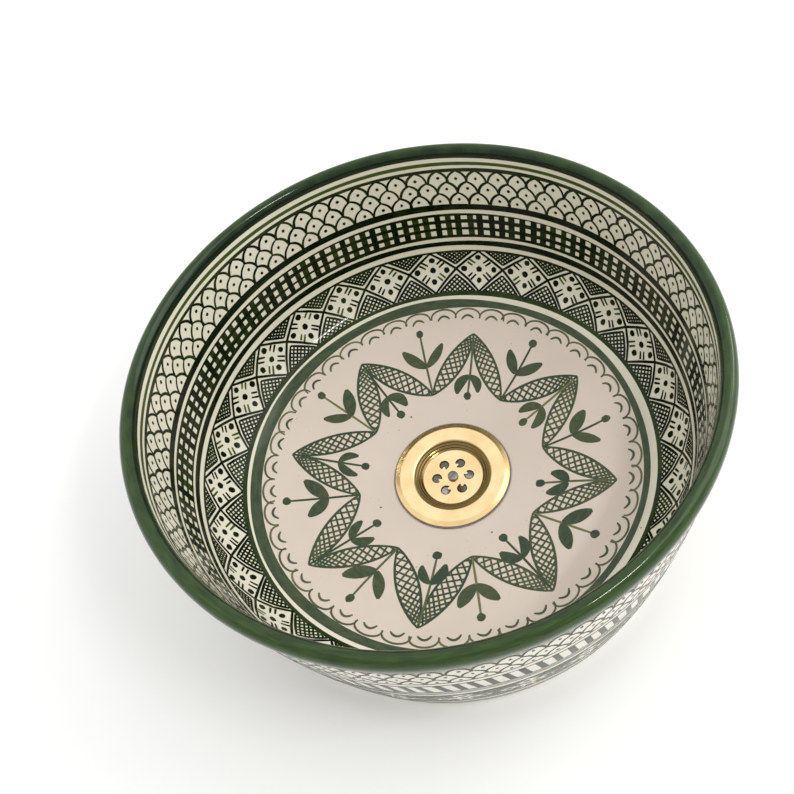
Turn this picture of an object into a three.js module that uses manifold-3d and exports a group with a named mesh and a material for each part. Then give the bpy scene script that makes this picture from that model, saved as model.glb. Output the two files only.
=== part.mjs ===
// A hand-painted glazed ceramic wash basin with a brass grid waste held by a centre screw.
// Millimetres, +Z up. The origin is the centre of the plane that the foot ring stands on,
// so the waste's threaded tail hangs below z = 0, through the counter.

import * as THREE from 'three';
import { mergeVertices } from 'three/addons/utils/BufferGeometryUtils.js';
import Module from 'manifold-3d';

const manifoldModule = await Module();
manifoldModule.setup();

// ---- Driving dimensions ----

const BASIN = {
  rimRadius: 201,
  height: 174.5,
  rimHalfWidth: 5.3,
  rimRise: 6.5,
  rimRollHeight: 12,
  underRimRadius: 197.4,
  footRadius: 161,
  footHeelRadius: 167.5,
  footHeelHeight: 6,
  footRingWidth: 11,
  bellyRadius: 186,
  bellyHeight: 70,
  drainHoleRadius: 33,
  landingRadius: 47,
  landingHeight: 15.6,
  undersideHeight: 7.5,
};

// The inside of the bowl from the rim to the landing round the drain: each curve's control and end point,
// radius then height.
const BOWL_INSIDE = [
  [[186, 116.7], [179.7, 85]],
  [[172.9, 51.1], [150.6, 42.4]],
  [[128, 33.5], [47, 15.6]],
];

const STRAINER = {
  radius: 44.5,
  bevelWidth: 3.6,
  thickness: 1.2,
  seatHeight: 17.1,
  dishRadius: 29.8,
  dishTopHeight: 17.3,
  plateRadius: 23,
  plateTopHeight: 12.6,
  holeCount: 6,
  holeCircleRadius: 12.5,
  holeRadius: 3.9,
  firstHoleAngle: 48.5,
  screwHoleRadius: 3.2,
};

const SCREW = {
  headRadius: 4,
  headHeight: 2,
  shankRadius: 2.8,
  shankBottom: -25,
  slotWidth: 1.2,
  slotDepth: 1,
};

const GASKET = {
  upperInnerRadius: 34,
  upperOuterRadius: 45.3,
  upperThickness: 0.9,
  lowerInnerRadius: 35,
  lowerOuterRadius: 47,
  lowerThickness: 2.5,
};

const WASTE = {
  flangeRadius: 46,
  flangeThickness: 3.2,
  cupInnerRadius: 32.5,
  cupWall: 2.4,
  cupBottom: -8,
  coneBottom: -19,
  threadRadius: 23.9,
  boreRadius: 20.4,
  tailBottom: -52,
  bossRadius: 8,
  bossTop: -11,
  bossBottom: -25,
  armCount: 3,
  armWidth: 3,
  armTop: -13,
  armBottom: -24,
};

const INSERT = { radius: 4.6, boreRadius: 3.1, bottom: -22, knurlCount: 12, knurlDepth: 0.35 };

const HOLE_TAIL_ANGLE = 165;
const TOUCH_GAP = 0.3;
const ROUND_SEGMENTS = 60;
const FITTING_SEGMENTS = 42;
const SMALL_ROUND_SEGMENTS = 24;
const CURVE_STEPS = 4;

// ---- Geometry helpers ----

// Turns a closed outline of (radius, height) about +Z; the outline runs anticlockwise.
function turned(outline, segments = ROUND_SEGMENTS) {
  const points = outline.getPoints(CURVE_STEPS);
  if (points[0].distanceTo(points.at(-1)) > 1e-6) points.push(points[0].clone());
  return new THREE.LatheGeometry(points, segments).rotateX(Math.PI / 2);
}

function polygonOutline(corners) {
  const outline = new THREE.Path();
  outline.moveTo(...corners[0]);
  for (const corner of corners.slice(1)) outline.lineTo(...corner);
  outline.lineTo(...corners[0]);
  return outline;
}

function ringOutline(innerRadius, outerRadius, bottom, top) {
  return polygonOutline([
    [innerRadius, bottom],
    [outerRadius, bottom],
    [outerRadius, top],
    [innerRadius, top],
  ]);
}

function cylinder(radius, bottom, top, segments = SMALL_ROUND_SEGMENTS) {
  const geometry = new THREE.CylinderGeometry(radius, radius, top - bottom, segments);
  return geometry.rotateX(Math.PI / 2).translate(0, 0, (top + bottom) / 2);
}

function box(width, depth, bottom, top) {
  return new THREE.BoxGeometry(width, depth, top - bottom).translate(0, 0, (top + bottom) / 2);
}

function toSolid(geometry) {
  const bare = geometry.clone();
  bare.deleteAttribute('normal');
  bare.deleteAttribute('uv');
  const merged = mergeVertices(bare, 1e-4);
  return new manifoldModule.Manifold(new manifoldModule.Mesh({
    numProp: 3,
    vertProperties: new Float32Array(merged.attributes.position.array),
    triVerts: new Uint32Array(merged.index.array),
  }));
}

function toGeometry(solid) {
  const mesh = solid.getMesh();
  const geometry = new THREE.BufferGeometry();
  geometry.setAttribute('position', new THREE.BufferAttribute(mesh.vertProperties, 3));
  geometry.setIndex(new THREE.BufferAttribute(mesh.triVerts, 1));
  geometry.computeVertexNormals();
  return geometry;
}

function namedMesh(name, geometry, color, roughness, metalness) {
  const mesh = new THREE.Mesh(geometry, new THREE.MeshStandardMaterial({ color, roughness, metalness }));
  mesh.name = name;
  return mesh;
}

// ---- The basin: one thrown and glazed ceramic body with a foot ring and a drain hole ----

function basinOutline() {
  const b = BASIN;
  const rimSpring = b.height - b.rimRise;
  const rimCentre = b.rimRadius - b.rimHalfWidth;
  const outline = new THREE.Path();
  outline.moveTo(b.footRadius, 0);
  outline.quadraticCurveTo(b.footHeelRadius - 1.5, 0, b.footHeelRadius, b.footHeelHeight);
  outline.quadraticCurveTo(b.bellyRadius, b.bellyHeight, b.underRimRadius, rimSpring - b.rimRollHeight);
  outline.quadraticCurveTo(b.rimRadius, rimSpring - b.rimRollHeight / 2, b.rimRadius, rimSpring);
  outline.absellipse(rimCentre, rimSpring, b.rimHalfWidth, b.rimRise, 0, Math.PI, false, 0);
  for (const [control, end] of BOWL_INSIDE) outline.quadraticCurveTo(...control, ...end);
  outline.lineTo(b.drainHoleRadius, b.landingHeight);
  outline.lineTo(b.drainHoleRadius, b.undersideHeight);
  outline.lineTo(b.landingRadius + 2, b.undersideHeight);
  const footInner = b.footRadius - b.footRingWidth;
  outline.quadraticCurveTo(footInner * 0.7, b.undersideHeight + 9, footInner - 13, 25);
  outline.quadraticCurveTo(footInner - 3, 26, footInner - 1.5, 12);
  outline.lineTo(footInner, 0);
  outline.lineTo(b.footRadius, 0);
  return outline;
}

function basin() {
  return namedMesh('basin', turned(basinOutline()), 0xdccdb8, 0.18, 0);
}

// ---- The strainer: a dished brass flange with a pierced grid plate at its bottom ----

function strainerOutline() {
  const s = STRAINER;
  const bottom = s.seatHeight;
  const plateBottom = s.plateTopHeight - s.thickness;
  return polygonOutline([
    [s.screwHoleRadius, plateBottom],
    [s.plateRadius + 0.8, plateBottom],
    [s.dishRadius + s.thickness, bottom - 0.6],
    [s.dishRadius + 3.5, bottom],
    [s.radius - 1, bottom],
    [s.radius, bottom + 0.3],
    [s.radius - 1.4, bottom + s.thickness * 0.8],
    [s.radius - s.bevelWidth, bottom + s.thickness],
    [s.dishRadius + 1.2, bottom + s.thickness * 0.45],
    [s.dishRadius, s.dishTopHeight],
    [s.plateRadius, s.plateTopHeight],
    [s.screwHoleRadius, s.plateTopHeight],
  ]);
}

// One comma-shaped drain hole: a disc with a bite out of its inner side, beside a pointed tail.
function commaHole(angle) {
  const size = STRAINER.holeRadius;
  const polar = (radius, degrees) => {
    const turn = THREE.MathUtils.degToRad(degrees);
    return [radius * Math.cos(turn), radius * Math.sin(turn)];
  };
  const shape = new THREE.Shape();
  shape.moveTo(...polar(size * 1.12, HOLE_TAIL_ANGLE));
  shape.absarc(0, 0, size, THREE.MathUtils.degToRad(HOLE_TAIL_ANGLE + 25), 2.5 * Math.PI, false);
  shape.quadraticCurveTo(...polar(size * 1.15, 116), ...polar(size * 0.85, 122));
  shape.quadraticCurveTo(...polar(size * 0.2, 130), ...polar(size * 0.5, 158));
  shape.lineTo(...polar(size * 1.12, HOLE_TAIL_ANGLE));
  const depth = STRAINER.thickness * 4;
  const geometry = new THREE.ExtrudeGeometry(shape, { depth, bevelEnabled: false, curveSegments: 7 });
  geometry.translate(STRAINER.holeCircleRadius, 0, STRAINER.plateTopHeight - (depth + STRAINER.thickness) / 2);
  return geometry.rotateZ(angle);
}

function strainerFlange() {
  let solid = toSolid(turned(strainerOutline(), FITTING_SEGMENTS));
  for (let i = 0; i < STRAINER.holeCount; i += 1) {
    const degrees = STRAINER.firstHoleAngle + (i * 360) / STRAINER.holeCount;
    solid = solid.subtract(toSolid(commaHole(THREE.MathUtils.degToRad(degrees))));
  }
  return namedMesh('strainer_flange', toGeometry(solid), 0xd9b45f, 0.22, 1);
}

// ---- The centre screw: a slotted cheese head on a plain-turned shank ----

function centreScrew() {
  const headBottom = STRAINER.plateTopHeight + TOUCH_GAP;
  const headTop = headBottom + SCREW.headHeight;
  const outline = polygonOutline([
    [0, SCREW.shankBottom],
    [SCREW.shankRadius - 0.8, SCREW.shankBottom],
    [SCREW.shankRadius, SCREW.shankBottom + 1],
    [SCREW.shankRadius, headBottom],
    [SCREW.headRadius, headBottom],
    [SCREW.headRadius, headTop - 0.6],
    [SCREW.headRadius - 0.6, headTop],
    [0, headTop],
  ]);
  const points = outline.getPoints().slice(0, -1);
  const blank = new THREE.LatheGeometry(points, SMALL_ROUND_SEGMENTS).rotateX(Math.PI / 2);
  const slot = box(SCREW.headRadius * 3, SCREW.slotWidth, headTop - SCREW.slotDepth, headTop + 1);
  const solid = toSolid(blank).subtract(toSolid(slot.rotateZ(Math.PI / 5)));
  return namedMesh('centre_screw', toGeometry(solid), 0x9a9a98, 0.3, 1);
}

// ---- The gaskets: one under the brass flange, one between the ceramic and the waste body ----

function flangeGasket() {
  const bottom = BASIN.landingHeight + TOUCH_GAP;
  const outline = ringOutline(
    GASKET.upperInnerRadius,
    GASKET.upperOuterRadius,
    bottom,
    bottom + GASKET.upperThickness,
  );
  return namedMesh('flange_gasket', turned(outline, FITTING_SEGMENTS), 0x8d8482, 0.8, 0);
}

function lowerGasket() {
  const top = BASIN.undersideHeight - TOUCH_GAP;
  const outline = ringOutline(
    GASKET.lowerInnerRadius,
    GASKET.lowerOuterRadius,
    top - GASKET.lowerThickness,
    top,
  );
  return namedMesh('lower_gasket', turned(outline, FITTING_SEGMENTS), 0x1f1f20, 0.75, 0);
}

// ---- The waste body: a flanged cup, a cone and a threaded tail, with a boss on three arms ----

const wasteTop = BASIN.undersideHeight - TOUCH_GAP * 2 - GASKET.lowerThickness;

function wasteShellOutline() {
  const w = WASTE;
  return polygonOutline([
    [w.cupInnerRadius, wasteTop],
    [w.cupInnerRadius, w.cupBottom],
    [w.boreRadius, w.coneBottom],
    [w.boreRadius, w.tailBottom],
    [w.threadRadius - 0.8, w.tailBottom],
    [w.threadRadius, w.tailBottom + 1.2],
    [w.threadRadius, w.coneBottom - 1],
    [w.cupInnerRadius + w.cupWall, w.cupBottom - 1],
    [w.cupInnerRadius + w.cupWall, wasteTop - w.flangeThickness],
    [w.flangeRadius, wasteTop - w.flangeThickness],
    [w.flangeRadius, wasteTop],
  ]);
}

function bossArm(angle) {
  const reach = WASTE.boreRadius + 1.5;
  const arm = box(reach, WASTE.armWidth, WASTE.armBottom, WASTE.armTop);
  return arm.translate(reach / 2, 0, 0).rotateZ(angle);
}

function wasteBody() {
  let solid = toSolid(turned(wasteShellOutline(), FITTING_SEGMENTS));
  let spider = toSolid(cylinder(WASTE.bossRadius, WASTE.bossBottom, WASTE.bossTop));
  for (let i = 0; i < WASTE.armCount; i += 1) {
    spider = spider.add(toSolid(bossArm((i * 2 * Math.PI) / WASTE.armCount)));
  }
  solid = solid.add(spider);
  const insertPocket = cylinder(INSERT.radius + TOUCH_GAP, INSERT.bottom - TOUCH_GAP, WASTE.bossTop + 1);
  const screwWay = cylinder(SCREW.shankRadius + TOUCH_GAP, WASTE.bossBottom - 1, WASTE.bossTop);
  solid = solid.subtract(toSolid(insertPocket)).subtract(toSolid(screwWay));
  return namedMesh('waste_body', toGeometry(solid), 0xb9b8b4, 0.5, 0);
}

// ---- The threaded insert that the centre screw pulls on ----

function insertShape() {
  const shape = new THREE.Shape();
  const steps = INSERT.knurlCount * 2;
  for (let i = 0; i < steps; i += 1) {
    const angle = (i * 2 * Math.PI) / steps;
    const radius = INSERT.radius - (i % 2) * INSERT.knurlDepth;
    const corner = [radius * Math.cos(angle), radius * Math.sin(angle)];
    if (i === 0) shape.moveTo(...corner);
    else shape.lineTo(...corner);
  }
  shape.closePath();
  const bore = new THREE.Path();
  bore.absarc(0, 0, INSERT.boreRadius, 0, 2 * Math.PI, true);
  shape.holes.push(bore);
  return shape;
}

function screwInsert() {
  const depth = WASTE.bossTop - INSERT.bottom;
  const geometry = new THREE.ExtrudeGeometry(insertShape(), { depth, bevelEnabled: false, curveSegments: 12 });
  return namedMesh('screw_insert', geometry.translate(0, 0, INSERT.bottom), 0xc9a24d, 0.35, 1);
}

// ---- Assembly ----

const object = new THREE.Group();
object.add(
  basin(),
  strainerFlange(),
  centreScrew(),
  flangeGasket(),
  lowerGasket(),
  wasteBody(),
  screwInsert(),
);

export default object;
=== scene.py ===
# The looks of a hand-painted ceramic wash basin with a brass grid waste, built round its CAD frame.
# Sizes are millimetres, as in the CAD source, and MM turns them into Blender's metres.

import math
import random

import bmesh
import bpy
import numpy as np
from mathutils import Matrix, Vector
from mathutils.geometry import delaunay_2d_cdt


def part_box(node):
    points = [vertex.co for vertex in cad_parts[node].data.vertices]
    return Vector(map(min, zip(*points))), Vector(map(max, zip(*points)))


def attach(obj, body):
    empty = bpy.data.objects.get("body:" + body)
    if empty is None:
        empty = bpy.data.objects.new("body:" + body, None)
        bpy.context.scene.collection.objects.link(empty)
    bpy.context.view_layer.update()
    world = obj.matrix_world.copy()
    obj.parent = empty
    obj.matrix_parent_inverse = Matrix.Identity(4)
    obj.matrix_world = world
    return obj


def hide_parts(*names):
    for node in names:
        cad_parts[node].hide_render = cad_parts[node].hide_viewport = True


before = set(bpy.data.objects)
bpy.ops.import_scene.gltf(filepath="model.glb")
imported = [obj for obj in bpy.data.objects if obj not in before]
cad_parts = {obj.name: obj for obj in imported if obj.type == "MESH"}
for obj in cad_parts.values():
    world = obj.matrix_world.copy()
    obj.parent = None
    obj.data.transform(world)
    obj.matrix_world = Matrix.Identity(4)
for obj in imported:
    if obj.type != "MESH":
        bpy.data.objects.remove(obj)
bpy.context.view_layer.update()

MM = 0.001
SEED = 7

# ---- Sizes taken from the frame ----

basin_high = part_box("basin")[1]
RIM_RADIUS = basin_high[0] / MM
HEIGHT = basin_high[2] / MM
flange_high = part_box("strainer_flange")[1]
FLANGE_RADIUS = flange_high[0] / MM
FLANGE_TOP = flange_high[2] / MM

# ---- The basin's section: radius and height, by the same curves as the CAD basin ----

RIM_HALF_WIDTH = 5.3
RIM_RISE = 6.5
RIM_SPRING = HEIGHT - RIM_RISE
RIM_CENTRE = RIM_RADIUS - RIM_HALF_WIDTH
INSIDE_CURVES = (
    ((190.4, 168), (186, 116.7), (179.7, 85)),
    ((179.7, 85), (172.9, 51.1), (150.6, 42.4)),
    ((150.6, 42.4), (128, 33.5), (47, 15.6)),
)
OUTSIDE_CURVES = (
    ((201, 168), (201, 162), (197.4, 156)),
    ((197.4, 156), (186, 70), (167.5, 6)),
    ((167.5, 6), (166, 0), (161, 0)),
)
UNDERSIDE_CURVES = (
    ((148.5, 12), (147, 26), (137, 25)),
    ((137, 25), (105, 16.5), (49, 7.5)),
)
UNDERSIDE_STEPS = (8, 10)
DRAIN_HOLE_RADIUS = 33
UNDERSIDE_HEIGHT = 7.5
FOOT_INNER_RADIUS = 150
AROUND = 320

# ---- The brass strainer ----

DISH_RADIUS = 29.8
PLATE_RADIUS = 23
PLATE_TOP = 12.6
BRASS = 1.2
PLATE_BOTTOM = PLATE_TOP - BRASS
HOLE_COUNT = 6
HOLE_CIRCLE = 12.5
HOLE_RADIUS = 3.9
FIRST_HOLE_DEG = 48.5
HOLE_TAIL_DEG = 165
SCREW_HOLE_RADIUS = 3.2
HOLE_LIP = 0.82
LIP_DEPTH = 0.4
RIDGES = ((25.7, 14.4), (27.5, 15.7), (29.3, 16.9))

# ---- The pieces that clamp the strainer: radii and heights ----

SHANK_RADIUS = 2.8
HEAD_RADIUS = 4
HEAD_BOTTOM = 12.9
HEAD_TOP = 14.9
SLOT_SIZE = (12, 1.2, 2)
FLANGE_GASKET = (34, 45.3, 15.9, 16.8)
LOWER_GASKET = (35, 47, 4.7, 7.2)
WASTE_TOP = 4.4
WASTE_SEAT = 1.2
WASTE_FLANGE_RADIUS = 46
CUP_INNER_RADIUS = 32.5
CUP_OUTER_RADIUS = 34.9
CUP_BOTTOM = -8
CONE_BOTTOM = -19
TAIL_RADIUS = 23.9
TAIL_BORE_RADIUS = 20.4
TAIL_BOTTOM = -52
THREAD_TOP = -21
THREAD_BOTTOM = -50.8
THREAD_PITCH = 2.309
THREAD_DEPTH = 1.2
BOSS_RADIUS = 8
BOSS_TOP = -11
BOSS_BOTTOM = -25
ARM_COUNT = 3
ARM_SIZE = (21.9, 3, 11)
ARM_MIDDLE = -18.5
POCKET_RADIUS = 4.9
POCKET_BOTTOM = -22.3
INSERT_BORE_RADIUS = 3.1
INSERT_RADIUS = 4.45
INSERT_BOTTOM = -22
KNURL_TEETH = 12
KNURL_DEPTH = 0.15


def quadratic(start, control, end, steps):
    """Points of a quadratic curve, without its first point."""
    points = []
    for i in range(1, steps + 1):
        t = i / steps
        points.append(tuple(
            (1 - t) ** 2 * a + 2 * t * (1 - t) * b + t * t * c
            for a, b, c in zip(start, control, end)
        ))
    return points


def rim_quarter(side, steps):
    """The rolled rim from its crest to the inner (-1) or outer (+1) side."""
    points = []
    for i in range(steps + 1):
        turn = math.pi / 2 * i / steps
        radius = RIM_CENTRE + side * RIM_HALF_WIDTH * math.sin(turn)
        points.append((radius, RIM_SPRING + RIM_RISE * math.cos(turn)))
    return points


def inside_section(steps):
    points = rim_quarter(-1, steps // 2)
    for curve in INSIDE_CURVES:
        points += quadratic(*curve, steps)
    return points


def outside_section(steps):
    points = rim_quarter(1, steps // 2)
    for curve in OUTSIDE_CURVES:
        points += quadratic(*curve, steps)
    return points


class Glaze:
    """The glazed surface by angle and run: run is measured from the rim's crest, + inside and - outside."""

    def __init__(self):
        inside = np.array(inside_section(400))
        outside = np.array(outside_section(400))
        inner_run = np.concatenate([[0], np.cumsum(np.hypot(*np.diff(inside, axis=0).T))])
        outer_run = np.concatenate([[0], np.cumsum(np.hypot(*np.diff(outside, axis=0).T))])
        self.runs = np.concatenate([-outer_run[:0:-1], inner_run])
        points = np.concatenate([outside[:0:-1], inside])
        self.radii, self.heights = points.T
        slope_r = np.gradient(self.radii, self.runs)
        slope_z = np.gradient(self.heights, self.runs)
        self.normal_r, self.normal_z = slope_z, -slope_r

    def radius(self, run):
        return float(np.interp(run, self.runs, self.radii))

    def run_at_height(self, height):
        """The run on the outside at a height."""
        outer = self.runs < 0
        return float(np.interp(height, self.heights[outer], self.runs[outer]))

    def run_at_radius(self, radius):
        """The run on the bowl's floor at a radius."""
        floor = self.runs > 120
        return float(np.interp(-radius, -self.radii[floor], self.runs[floor]))

    def place(self, angles, runs, lift):
        """Points in metres at these angles and runs, lifted off the glaze, and their normals."""
        radius = np.interp(runs, self.runs, self.radii)
        height = np.interp(runs, self.runs, self.heights)
        n_r = np.interp(runs, self.runs, self.normal_r)
        n_z = np.interp(runs, self.runs, self.normal_z)
        length = np.hypot(n_r, n_z)
        n_r, n_z = n_r / length, n_z / length
        out = radius + lift * n_r
        points = np.stack([out * np.cos(angles), out * np.sin(angles), height + lift * n_z], -1) * MM
        normals = np.stack([n_r * np.cos(angles), n_r * np.sin(angles), n_z], -1)
        return points, normals


glaze = Glaze()
CHART_CENTRE = 320


def chart(angle, run):
    """The glaze laid flat: a disc whose middle is the drain, with the rim as a ring round it."""
    distance = CHART_CENTRE - run
    return Vector((distance * math.cos(angle), distance * math.sin(angle)))


# ---- Mesh helpers ----

def new_object(name, mesh):
    thing = bpy.data.objects.new(name, mesh)
    bpy.context.scene.collection.objects.link(thing)
    return thing


def mesh_object(name, points, faces, materials, slots=None):
    mesh = bpy.data.meshes.new(name)
    mesh.from_pydata([tuple(point) for point in points], [], faces)
    for material in materials:
        mesh.materials.append(material)
    if slots is not None:
        mesh.polygons.foreach_set("material_index", slots)
    mesh.update()
    return new_object(name, mesh)


def smooth(thing, sharp_deg=35):
    mesh = thing.data
    mesh.polygons.foreach_set("use_smooth", [True] * len(mesh.polygons))
    mesh.set_sharp_from_angle(angle=math.radians(sharp_deg))


def weld(thing):
    """Joins meeting corners and makes every face look outwards."""
    mesh = bmesh.new()
    mesh.from_mesh(thing.data)
    bmesh.ops.remove_doubles(mesh, verts=mesh.verts, dist=1e-6)
    bmesh.ops.recalc_face_normals(mesh, faces=mesh.faces)
    mesh.to_mesh(thing.data)
    mesh.free()


def at_turn(radius, turn, height):
    """The point in metres at this radius, angle about Z and height."""
    return radius * math.cos(turn) * MM, radius * math.sin(turn) * MM, height * MM


def turned_points(section, around):
    """The section's points at each of the even turns about Z, one turn after another."""
    points = []
    for i in range(around):
        turn = 2 * math.pi * i / around
        points += [at_turn(radius, turn, height) for radius, height in section]
    return points


def turned_faces(count, around, closed=True):
    """The faces between each turn of a section of count points and the next turn."""
    faces = []
    for i in range(around):
        here, there = i * count, (i + 1) % around * count
        for j in range(count if closed else count - 1):
            k = (j + 1) % count
            faces.append((here + j, there + j, there + k, here + k))
    return faces


def lathe(name, section, around, materials, slots=None):
    """A closed ring turned about Z from a closed section of (radius, height), anticlockwise."""
    faces = turned_faces(len(section), around)
    face_slots = slots * around if slots else None
    return mesh_object(name, turned_points(section, around), faces, materials, face_slots)


# ---- Brush strokes: outlines in (angle, run), each with how much paint the brush held ----

class Patch:
    """A small flat working area on the glaze, in mm round a point: x goes round, y goes with the run."""

    def __init__(self, angle, run, turn=0.0):
        self.angle = angle
        self.run = run
        self.radius = glaze.radius(run)
        self.cos, self.sin = math.cos(turn), math.sin(turn)

    def to_glaze(self, x, y):
        x, y = x * self.cos - y * self.sin, x * self.sin + y * self.cos
        return self.angle + x / self.radius, self.run + y


class Plan:
    """The bowl's floor seen from above, in mm round the drain's axis."""

    def to_glaze(self, x, y):
        return math.atan2(y, x), glaze.run_at_radius(math.hypot(x, y))


def sweep(points, widths):
    """The outline of a brush drawn along points; widths gives the stroke's width at each point."""
    left, right = [], []
    last = len(points) - 1
    for i, (x, y) in enumerate(points):
        ax, ay = points[max(i - 1, 0)]
        bx, by = points[min(i + 1, last)]
        length = math.hypot(bx - ax, by - ay) or 1
        nx, ny = -(by - ay) / length, (bx - ax) / length
        half = widths[i] / 2
        left.append((x + nx * half, y + ny * half))
        right.append((x - nx * half, y - ny * half))
    return left + right[::-1]


def taper(count, full, start, end):
    """Widths along a stroke that swells from its start and thins to its end."""
    widths = []
    for i in range(count):
        t = i / (count - 1)
        ramp_in = min(1, t * 5)
        ramp_out = min(1, (1 - t) * 5)
        widths.append(full * (start + (1 - start) * ramp_in) * (end + (1 - end) * ramp_out))
    return widths


def bezier(a, b, c, steps):
    return [a] + quadratic(a, b, c, steps)


def blob(x, y, half_width, half_height, rng, corners=14, wobble=0.08):
    outline = []
    for i in range(corners):
        turn = 2 * math.pi * i / corners
        size = 1 + rng.uniform(-wobble, wobble)
        outline.append((x + half_width * size * math.cos(turn), y + half_height * size * math.sin(turn)))
    return outline


PRESSED_SIDE = math.radians(155)


class Painter:
    """Collects the strokes of one painted band."""

    def __init__(self, seed):
        self.rng = random.Random(SEED * 1000 + seed)
        self.strokes = []

    def add(self, area, outline, load=1.0):
        self.strokes.append(([area.to_glaze(x, y) for x, y in outline], load))

    def line(self, area, points, widths, load=1.0):
        self.add(area, sweep(points, widths), load)

    def dot(self, area, x, y, half_width, half_height, load=1.0):
        self.add(area, blob(x, y, half_width, half_height, self.rng), load)

    def ring(self, start, end, wobble=0.25, rows=1, load=1.0, end_load=None, steps=240, drift=0.0):
        """A band of paint right round the basin between two runs, with slightly uneven edges.

        With a drift it starts that much earlier on the side where the brush was pressed harder,
        and that much later on the other side.
        """
        end_load = load if end_load is None else end_load
        rng = self.rng
        phases = [(rng.uniform(0, 6.28), rng.randint(2, 9), rng.uniform(0.3, 1)) for _ in range(8)]

        def edge(base, angle, waves):
            sway = sum(size * math.sin(count * angle + phase) for phase, count, size in waves)
            return base + wobble / 2 * sway

        for i in range(steps):
            a = 2 * math.pi * i / steps
            b = 2 * math.pi * (i + 1) / steps
            starts = [
                edge(start - drift * math.cos(angle - PRESSED_SIDE), angle, phases[:4]) for angle in (a, b)
            ]
            ends = [edge(end, angle, phases[4:]) for angle in (a, b)]
            for j in range(rows):
                low, high = j / rows, (j + 1) / rows
                quad = []
                for angle, k, part in ((a, 0, low), (b, 1, low), (b, 1, high), (a, 0, high)):
                    quad.append((angle, starts[k] + (ends[k] - starts[k]) * part))
                self.strokes.append((quad, load + (end_load - load) * (low + high) / 2))


PAINT_LIFT = 0.09
PAINT_DEPTH = 0.06
JOIN_TOLERANCE = 1e-3


def signed_area(corners):
    total = 0
    for a, b in zip(corners, corners[1:] + corners[:1]):
        total += a.x * b.y - b.x * a.y
    return total / 2


def painted(name, painter, material):
    """Joins a band's strokes into one closed skin of paint that follows the glaze."""
    corners, faces, loads = [], [], []
    for outline, load in painter.strokes:
        flat = [chart(angle, run) for angle, run in outline]
        if signed_area(flat) < 0:
            flat.reverse()
        faces.append(list(range(len(corners), len(corners) + len(flat))))
        corners += flat
        loads.append(load)
    flat, _, triangles, _, _, owners = delaunay_2d_cdt(corners, [], faces, 1, JOIN_TOLERANCE)
    kept = [(tuple(tri), max(loads[k] for k in owner)) for tri, owner in zip(triangles, owners) if owner]
    used = sorted({index for tri, _ in kept for index in tri})
    number = {index: i for i, index in enumerate(used)}
    tris = [tuple(number[index] for index in tri) for tri, _ in kept]
    tri_loads = [load for _, load in kept]
    flat = np.array([flat[index] for index in used])
    angles = np.arctan2(flat[:, 1], flat[:, 0])
    runs = CHART_CENTRE - np.hypot(flat[:, 0], flat[:, 1])
    top, normals = glaze.place(angles, runs, PAINT_LIFT)
    bottom, _ = glaze.place(angles, runs, -PAINT_DEPTH)
    count = len(used)
    edges = {}
    for tri, load in zip(tris, tri_loads):
        for a, b in zip(tri, tri[1:] + tri[:1]):
            edges[(a, b)] = load
    rims = [(a, b, load) for (a, b), load in edges.items() if (b, a) not in edges]
    all_faces = tris + [tuple(i + count for i in reversed(tri)) for tri in tris]
    all_faces += [(a, a + count, b + count, b) for a, b, _ in rims]
    face_loads = tri_loads * 2 + [load for _, _, load in rims]
    thing = mesh_object(name, np.concatenate([top, bottom]), all_faces, [material])
    mesh = thing.data
    attribute = mesh.attributes.new("load", "FLOAT", "FACE")
    attribute.data.foreach_set("value", face_loads)
    mesh.polygons.foreach_set("use_smooth", [True] * len(mesh.polygons))
    loop_normals = []
    for polygon in mesh.polygons:
        if len(polygon.vertices) == 3:
            for index in polygon.vertices:
                loop_normals.append(normals[index] if index < count else -normals[index - count])
        else:
            loop_normals += [polygon.normal] * len(polygon.vertices)
    mesh.normals_split_custom_set([tuple(normal) for normal in loop_normals])
    print(name, len(all_faces), "faces")
    return thing


# ---- Materials ----

def new_material(name):
    material = bpy.data.materials.new(name)
    material.use_nodes = True
    return material, material.node_tree, material.node_tree.nodes["Principled BSDF"]


def add_node(tree, kind, **values):
    """A node with its settings and unconnected inputs given by name."""
    node = tree.nodes.new(kind)
    for key, value in values.items():
        if key in node.inputs.keys():
            node.inputs[key].default_value = value
        else:
            setattr(node, key.lower(), value)
    return node


def object_point(tree):
    return add_node(tree, "ShaderNodeTexCoord").outputs["Object"]


def noise(tree, point, scale, detail=3):
    node = add_node(tree, "ShaderNodeTexNoise", Scale=scale, Detail=detail)
    tree.links.new(point, node.inputs["Vector"])
    return node.outputs["Fac"]


def ramp(tree, value, stops):
    """A colour ramp; each stop is (position, colour)."""
    node = add_node(tree, "ShaderNodeValToRGB")
    elements = node.color_ramp.elements
    while len(elements) < len(stops):
        elements.new(0.5)
    for element, (position, colour) in zip(elements, stops):
        element.position = position
        element.color = (*colour, 1)
    tree.links.new(value, node.inputs["Fac"])
    return node.outputs["Color"]


def mix(tree, kind, amount, first, second):
    """Mixes two colours; each can be a socket or a plain colour, and so can the amount."""
    node = add_node(tree, "ShaderNodeMix", data_type="RGBA", blend_type=kind)
    for index, value in ((0, amount), (6, first), (7, second)):
        if isinstance(value, bpy.types.NodeSocket):
            tree.links.new(value, node.inputs[index])
        elif index == 0:
            node.inputs[index].default_value = value
        else:
            node.inputs[index].default_value = (*value, 1)
    return node.outputs[2]


def bump(tree, shader, height, strength, distance):
    node = add_node(tree, "ShaderNodeBump", Strength=strength, Distance=distance)
    tree.links.new(height, node.inputs["Height"])
    tree.links.new(node.outputs["Normal"], shader.inputs["Normal"])


def screen_colour(red, green, blue):
    """A colour as it shows on a screen (0-255), as the linear values that the shaders use."""
    return tuple((value / 255) ** 2.2 for value in (red, green, blue))


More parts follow.
